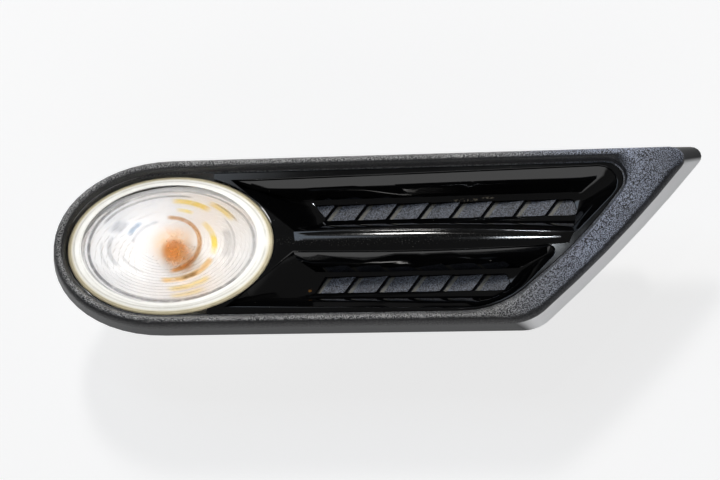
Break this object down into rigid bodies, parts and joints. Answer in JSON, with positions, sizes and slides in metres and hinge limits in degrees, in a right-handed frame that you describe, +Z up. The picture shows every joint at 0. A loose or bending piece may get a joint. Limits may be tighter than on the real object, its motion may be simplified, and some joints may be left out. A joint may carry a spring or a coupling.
{
  "type": "side repeater lamp",
  "caption": "Oval clear side repeater lamp with an amber bulb, set in a long black wing trim with a slanted end, a gloss spine and two louvred slots.",
  "frame": {"origin": "axis of the main locating pin at its shoulder, on the back of the trim's pan", "axes": "+X along the trim to its slanted end, +Z up as fitted, +Y into the wing, so the lens looks along -Y"},
  "size_m": [0.26, 0.0512, 0.0736],
  "materials": {
    "grained_black": "black moulded plastic with a fine leather-like grain",
    "gloss_black": "polished piano black",
    "clear_lens": "clear polycarbonate with concentric optic rings",
    "cream_sealant": "cured cream sealant",
    "grey_plastic": "satin moulded grey plastic",
    "bright_reflector": "vacuum-metallised, stepped in rings",
    "amber_glass": "amber bulb glass",
    "holder_plastic": "black heat-resisting plastic",
    "black_rubber": "soft black rubber",
    "contact_brass": "tinned brass",
    "screw_steel": "zinc-plated steel",
    "spring_steel": "phosphated spring steel",
    "black_foam": "closed-cell foam"
  },
  "bodies": {
    "root": {"trim_frame": "grained_black", "gloss_finisher": "gloss_black", "lamp_lens": "clear_lens", "lens_seal": "cream_sealant", "lamp_housing": "grey_plastic", "reflector": "bright_reflector", "bulb": "amber_glass", "bulb_holder": "holder_plastic", "holder_seal": "black_rubber", "contact_blade_1": "contact_brass", "contact_blade_2": "contact_brass", "lamp_screw_1": "screw_steel", "lamp_screw_2": "screw_steel", "finisher_screw_1": "screw_steel", "finisher_screw_2": "screw_steel", "finisher_screw_3": "screw_steel", "finisher_screw_4": "screw_steel", "finisher_screw_5": "screw_steel", "spring_clip_1": "spring_steel", "spring_clip_2": "spring_steel", "spring_clip_3": "spring_steel", "spring_clip_4": "spring_steel", "wing_gasket": "black_foam"}
  },
  "joints": []
}
